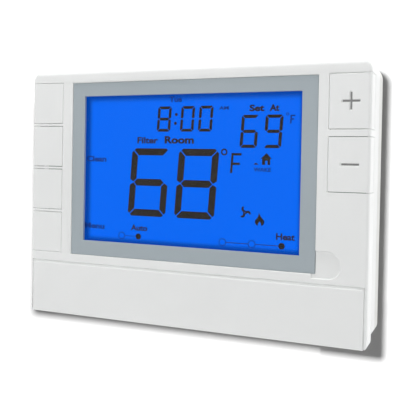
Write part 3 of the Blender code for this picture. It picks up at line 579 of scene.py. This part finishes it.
def stood_up(curve, name):
    """Turns a flat curve or text into a mesh that stands on the front of the display glass."""
    source = bpy.data.objects.new(name + "_source", curve)
    scene.collection.objects.link(source)
    bpy.context.view_layer.update()
    mesh = bpy.data.meshes.new_from_object(source.evaluated_get(bpy.context.evaluated_depsgraph_get()))
    bpy.data.objects.remove(source)
    mesh.name = name
    mesh.transform(Matrix.Rotation(math.radians(90), 4, "X"))
    mesh.transform(Matrix.Translation((0, -GRAPHICS_OUT, 0)))
    return mesh


def graphic(name, outlines, material=segment_ink):
    attach(bpy.data.objects.new("lcd_" + name, flat_mesh(name, outlines)), "case", material)


def label(name, words, x, z, material, bold):
    """A word that fills an x range and a z range. bold thickens its strokes."""
    text = bpy.data.curves.new(name, "FONT")
    text.body = words
    text.fill_mode = "BOTH"
    text.extrude = FILM / 2
    text.offset = bold
    text.resolution_u = 4
    mesh = stood_up(text, name)
    low = Vector([min(vertex.co[i] for vertex in mesh.vertices) for i in range(3)])
    high = Vector([max(vertex.co[i] for vertex in mesh.vertices) for i in range(3)])
    wide = (x[1] - x[0]) * MM / (high.x - low.x)
    tall = (z[1] - z[0]) * MM / (high.z - low.z)
    mesh.transform(Matrix.Translation((-low.x, 0, -low.z)))
    mesh.transform(Matrix.Diagonal((wide, 1, tall, 1)))
    mesh.transform(Matrix.Translation((x[0] * MM, -GRAPHICS_OUT - (low.y + high.y) / 2, z[0] * MM)))
    attach(bpy.data.objects.new("lcd_word_" + name, mesh), "case", material)


def arc(x, z, radius, start, end, steps):
    """Points along an arc, with its angles in degrees."""
    angles = [math.radians(start + (end - start) * i / steps) for i in range(steps + 1)]
    return [(x + radius * math.cos(angle), z + radius * math.sin(angle)) for angle in angles]


def ring(x, z, outer, inner, steps=28):
    return [arc(x, z, radius, 0, 360 - 360 / steps, steps - 1) for radius in (outer, inner)]


def segment_shapes(width, height, bar, gap):
    """The seven segments of an upright digit whose lower left corner is at (0, 0)."""
    chamfer, tip, shoulder = 0.52 * bar, 0.55 * bar, 0.42 * bar
    middle, half = height / 2, gap / 2
    slit = half * math.sqrt(2)
    top = [(chamfer + slit, height), (width - chamfer - slit, height)]
    top += [(width - chamfer / 2 - slit, height - chamfer / 2), (width - bar - slit, height - bar)]
    top += [(bar + slit, height - bar), (chamfer / 2 + slit, height - chamfer / 2)]
    centre = [(tip + slit, middle), (tip + slit + bar / 2, middle + bar / 2)]
    centre += [(width - tip - slit - bar / 2, middle + bar / 2), (width - tip - slit, middle)]
    centre += [(width - tip - slit - bar / 2, middle - bar / 2), (tip + slit + bar / 2, middle - bar / 2)]
    upper_left = [(0, height - chamfer - slit), (chamfer / 2, height - chamfer / 2 - slit)]
    upper_left += [(bar, height - bar - slit), (bar, middle + bar - tip + half)]
    upper_left += [(tip, middle + half), (0, middle + shoulder)]

    def over(points):
        return [(x, height - z) for x, z in points]

    def across(points):
        return [(width - x, z) for x, z in points]

    return {
        "top": top, "middle": centre, "bottom": over(top), "upper_left": upper_left,
        "lower_left": over(upper_left), "upper_right": across(upper_left),
        "lower_right": over(across(upper_left)),
    }


LIT = {
    "0": ("top", "bottom", "upper_left", "lower_left", "upper_right", "lower_right"),
    "6": ("top", "middle", "bottom", "upper_left", "lower_left", "lower_right"),
    "8": ("top", "middle", "bottom", "upper_left", "lower_left", "upper_right", "lower_right"),
    "9": ("top", "middle", "bottom", "upper_left", "upper_right", "lower_right"),
}


LEAN = 0.068
# Each digit's number, lower left corner, width, height, bar width and gap between segments
DIGITS = {
    "room_tens": ("6", -25.4, -8.1, 16.7, 26.8, 2.75, 0.38),
    "room_ones": ("8", -4.85, -8.1, 16.7, 26.8, 2.75, 0.38),
    "clock_hour": ("8", -13.0, 25.25, 5.85, 9.8, 1.1, 0.2),
    "clock_tens": ("0", -3.0, 25.25, 5.75, 9.8, 1.1, 0.2),
    "clock_ones": ("0", 4.6, 25.25, 5.75, 9.8, 1.1, 0.2),
    "target_tens": ("6", 21.6, 19.2, 6.75, 12.2, 1.2, 0.2),
    "target_ones": ("9", 30.85, 19.2, 6.75, 12.2, 1.2, 0.2),
}


def make_digits():
    """Seven segment digits that lean to the right."""
    for name, (number, x, z, *sizes) in DIGITS.items():
        shapes = segment_shapes(*sizes)
        for part in LIT[number]:
            outline = [(x + px + LEAN * pz, z + pz) for px, pz in shapes[part]]
            graphic(f"{name}_{part}", [outline])


def make_signs():
    for i, (x, z) in enumerate(((-4.55, 31.85), (-4.9, 28.45))):
        graphic(f"colon_{i + 1}", [arc(x, z, 0.6, 0, 345, 23)])
    graphic("degree_large", ring(15.6, 17.6, 1.3, 0.75))
    graphic("degree_small", ring(39.85, 31.55, 0.55, 0.3), faint_ink)
    letter = [(18.55, 17.25), (22.55, 17.25), (22.5, 16.35), (19.35, 16.35), (19.2, 13.7), (21.95, 13.7)]
    letter += [(21.9, 12.8), (19.1, 12.8), (18.95, 9.8), (18.05, 9.8)]
    graphic("unit_large", [letter])
    small = [(40.95, 31.25), (42.75, 31.25), (42.7, 30.75), (41.5, 30.75), (41.45, 29.95), (42.35, 29.95)]
    small += [(42.3, 29.45), (41.4, 29.45), (41.35, 28.1), (40.8, 28.1)]
    graphic("unit_small", [small], faint_ink)


# Each word's text, x range, z range, ink and boldness
WORDS = {
    "day": ("Tue", (-7.6, -2.3), (36.65, 38.9), faint_ink, 0.035),
    "half_of_day": ("AM", (13.2, 17.1), (33.45, 34.75), faint_ink, 0.035),
    "filter": ("Filter", (-21.45, -12.3), (20.6, 23.15), segment_ink, 0.03),
    "room": ("Room", (-9.4, 3.05), (20.6, 23.55), segment_ink, 0.04),
    "clean": ("Clean", (-44.95, -35.6), (13.1, 15.5), faint_ink, 0.035),
    "set": ("Set", (25.3, 31.05), (32.65, 35.15), segment_ink, 0.04),
    "at": ("At", (33.05, 36.75), (32.65, 35.15), segment_ink, 0.04),
    "wake": ("WAKE", (27.35, 34.05), (10.5, 12.0), faint_ink, 0.035),
    "menu": ("Menu", (-45.45, -36.0), (-14.2, -11.85), faint_ink, 0.035),
    "auto": ("Auto", (-23.75, -16.4), (-14.0, -11.65), segment_ink, 0.03),
    "heat": ("Heat", (36.45, 43.5), (-14.1, -11.65), segment_ink, 0.03),
}


def make_words():
    for name, word in WORDS.items():
        label(name, *word)


def make_icons():
    house = [(32.25, 17.35), (34.25, 15.25), (33.65, 15.25), (33.65, 13.05), (32.65, 13.05), (32.65, 14.55)]
    house += [(31.7, 14.55), (31.7, 13.05), (30.55, 13.05), (30.55, 15.25), (29.95, 15.25)]
    graphic("house", [house])
    graphic("mound", [[(27.35, 13.05), (27.95, 13.75), (28.45, 13.65), (29.25, 13.05)]])
    for i, turn in enumerate((95, 215, 335)):
        graphic(f"fan_blade_{i + 1}", [fan_blade(24.25, -4.7, turn)])
    graphic("flame", flame(30.05, -9.45))
    slider("fan", (-27.9, -20.35), faint_first=True)
    slider("heating", (15.5, 27.15, 38.6))


def fan_blade(hub_x, hub_z, turn):
    """A curved blade that grows away from the hub."""
    outer = arc(1.25, 0.1, 1.15, 215, 20, 9)
    inner = arc(1.45, -0.35, 0.75, 35, 170, 7)
    angle = math.radians(turn)
    c, s = math.cos(angle), math.sin(angle)
    return [(hub_x + x * c - z * s, hub_z + x * s + z * c) for x, z in outer + inner]


def flame(x, bottom):
    """A flame about a vertical line through x, with a notch in its foot."""
    right = [(x - 0.3, bottom + 4.85), (x + 0.35, bottom + 3.6), (x + 1.3, bottom + 2.5)]
    right += arc(x + 0.2, bottom + 1.6, 1.6, 20, -75, 7)
    notch = [(x + 0.75, bottom), (x + 0.55, bottom + 0.9), (x, bottom + 1.75), (x - 0.55, bottom + 0.9)]
    left = [(x - 0.75, bottom)] + arc(x - 0.2, bottom + 1.6, 1.6, 255, 165, 7)
    left += [(x - 0.95, bottom + 2.9), (x - 0.55, bottom + 3.6)]
    return [right + notch + left]


SLIDER_Z = -16.3
RING_OUTER, RING_INNER, DOT_RADIUS, LINE_HALF = 1.5, 1.22, 1.2, 0.12
# How far short of the dot's middle the last line ends
DOT_GAP = 1.0


def slider(name, stops, faint_first=False):
    """Round marks joined by lines, the last one filled."""
    low, high = SLIDER_Z - LINE_HALF, SLIDER_Z + LINE_HALF
    for i, (stop, following) in enumerate(zip(stops, stops[1:])):
        graphic(f"{name}_ring_{i + 1}", ring(stop, SLIDER_Z, RING_OUTER, RING_INNER), faint_ink)
        start = stop + RING_OUTER
        end = following - (DOT_GAP if following == stops[-1] else RING_OUTER)
        material = faint_ink if faint_first and i == 0 else segment_ink
        graphic(f"{name}_line_{i + 1}", [[(start, low), (end, low), (end, high), (start, high)]], material)
    graphic(f"{name}_dot", [arc(stops[-1], SLIDER_Z, DOT_RADIUS, 0, 350, 35)])


# ---------------------------------------------------------------- the stage, the lights and the camera

def stage_plane(name, size, place, turn):
    """A flat sheet that isn't part of the object."""
    mesh = bpy.data.meshes.new(name)
    sheet = bmesh.new()
    bmesh.ops.create_grid(sheet, x_segments=1, y_segments=1, size=0.5)
    bmesh.ops.scale(sheet, vec=(*size, 1), verts=sheet.verts)
    sheet.to_mesh(mesh)
    sheet.free()
    obj = bpy.data.objects.new(name, mesh)
    obj.location = place
    obj.rotation_euler = turn
    scene.collection.objects.link(obj)
    obj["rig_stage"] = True
    return obj


def grey(share):
    return (share, share, share)


def wall_paint():
    """Matt paint that shows only on the room's side of the wall. The sheets' strong lamps make it white."""
    f = Finish("wall_paint", grey(0.3), 0.9, Specular_IOR_Level=0.1)
    f.set("Base Color", f.mottled(8, grey(0.298), grey(0.302), detail=2))
    behind = f.add("ShaderNodeNewGeometry").outputs["Backfacing"]
    clear = f.add("ShaderNodeBsdfTransparent").outputs[0]
    either = f.add("ShaderNodeMixShader", {0: behind, 1: f.shader.outputs[0], 2: clear})
    f.feed(f.tree.nodes["Material Output"].inputs["Surface"], either.outputs[0])
    return f.material


def floor_paint():
    f = Finish("floor_paint", grey(0.82), 0.7)
    f.set("Base Color", f.mottled(3, grey(0.81), grey(0.83)))
    return f.material


FLOOR_Z = -0.35
FLOOR_SIZE = (6, 6)
BEHIND = 0.2 * MM

# The backdrop's three sheets meet right of the middle, and just above the part's lower edge. Each has a lamp
# of its own. The table gives a sheet's x and z ranges, then its lamp's azimuth and elevation, and its power.
SPLIT_X, SPLIT_Z, FAR = 0.048, -0.038, 3.0
WALLS = {
    "wall_left": ((-FAR, SPLIT_X), (FLOOR_Z, FAR), (34, 14.8), 112),
    "wall_right": ((SPLIT_X, FAR), (SPLIT_Z, FAR), (-3, 6), 96),
    "wall_low": ((SPLIT_X, FAR), (FLOOR_Z, SPLIT_Z), (-3, 19.3), 98),
}
WALL_LAMP_SIZE, WALL_LAMP_DISTANCE = (0.17, 0.17), 1.6

# The lamps for the part: azimuth, elevation, distance, size and power
LAMPS = {
    "front_light": (-16, 28, 0.8, (0.5, 0.5), 2.3),
    "right_light": (75, 8, 1.1, (0.5, 0.9), 1.5),
    "top_light": (0, 83, 0.9, (0.9, 0.4), 8.2),
    "left_light": (-60, 5, 1.2, (0.5, 0.9), 1),
}
# This one lights everything
BACK_LAMP = (170, 25, 1.2, (0.9, 0.9), 8)
AIM = Vector((0, -20, 0)) * MM
WORLD_STRENGTH = 0.3


def make_stage():
    walls, paint = [], wall_paint()
    for name, (x, z, *_) in WALLS.items():
        middle = ((x[0] + x[1]) / 2, BEHIND, (z[0] + z[1]) / 2)
        wall = stage_plane(name, (x[1] - x[0], z[1] - z[0]), middle, (math.radians(90), 0, 0))
        wall.data.materials.append(paint)
        wall.visible_shadow = False
        walls.append(wall)
    floor = stage_plane("floor", FLOOR_SIZE, (0, 0, FLOOR_Z), (0, 0, 0))
    floor.data.materials.append(floor_paint())
    return walls, floor


def make_collection(name, objects):
    """A collection for a lamp to light. It isn't in the scene."""
    collection = bpy.data.collections.new(name)
    for obj in objects:
        collection.objects.link(obj)
    return collection


def aimed(azimuth, elevation, distance):
    """A place that far from the origin. Azimuth 0 is straight in front, and grows to the right."""
    a, e = math.radians(azimuth), math.radians(elevation)
    return Vector((math.sin(a) * math.cos(e), -math.cos(a) * math.cos(e), math.sin(e))) * distance


def area_light(name, azimuth, elevation, distance, size, power, lights=None):
    """A rectangular lamp that faces the part. lights limits what it lights to one collection."""
    data = bpy.data.lights.new(name, "AREA")
    data.shape = "RECTANGLE"
    data.size, data.size_y = size
    data.energy = power
    lamp = bpy.data.objects.new(name, data)
    lamp.location = aimed(azimuth, elevation, distance)
    lamp.rotation_mode = "QUATERNION"
    lamp.rotation_quaternion = (AIM - lamp.location).to_track_quat("-Z", "Y")
    if lights:
        lamp.light_linking.receiver_collection = lights
    scene.collection.objects.link(lamp)


def make_lights(walls, floor):
    """Each sheet of wall has a lamp of its own, so it stays white, and its shadow stays close to the part."""
    part = make_collection("part", [*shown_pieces(), floor])
    for wall in walls:
        *_, angles, power = WALLS[wall.name]
        sheet = make_collection(wall.name, [wall])
        area_light(wall.name + "_light", *angles, WALL_LAMP_DISTANCE, WALL_LAMP_SIZE, power, lights=sheet)
    for name, lamp in LAMPS.items():
        area_light(name, *lamp, lights=part)
    area_light("back_light", *BACK_LAMP)
    world = bpy.data.worlds.new("studio")
    world.use_nodes = True
    world.node_tree.nodes["Background"].inputs["Color"].default_value = (1, 1, 1, 1)
    world.node_tree.nodes["Background"].inputs["Strength"].default_value = WORLD_STRENGTH
    scene.world = world
    scene.view_settings.view_transform = "Standard"


CAMERA_PLACE = Vector((105.7, -253.6, 13.1)) * MM
CAMERA_YAW, CAMERA_PITCH, CAMERA_ROLL = 22.813, 1.042, 1.063
CAMERA_LENS, CAMERA_SHIFT = 56.86, -0.0778
NEAREST = 10 * MM


def make_camera():
    """Right of the middle, looking slightly down, and turned a little."""
    yaw, pitch, roll = (math.radians(angle) for angle in (CAMERA_YAW, CAMERA_PITCH, CAMERA_ROLL))
    ahead = Vector((-math.sin(yaw) * math.cos(pitch), math.cos(yaw) * math.cos(pitch), -math.sin(pitch)))
    level = Vector((math.cos(yaw), math.sin(yaw), 0))
    upright = level.cross(ahead)
    right = math.cos(roll) * level + math.sin(roll) * upright
    up = math.cos(roll) * upright - math.sin(roll) * level
    data = bpy.data.cameras.new("camera")
    data.lens = CAMERA_LENS
    data.shift_y = CAMERA_SHIFT
    data.clip_start = NEAREST
    camera = bpy.data.objects.new("camera", data)
    camera.matrix_world = Matrix.Translation(CAMERA_PLACE) @ Matrix((right, up, -ahead)).transposed().to_4x4()
    scene.collection.objects.link(camera)
    scene.camera = camera


make_shells()
finish_cad_nodes()
make_painted_groove_shade()
make_digits()
make_signs()
make_words()
make_icons()
make_lights(*make_stage())
make_camera()
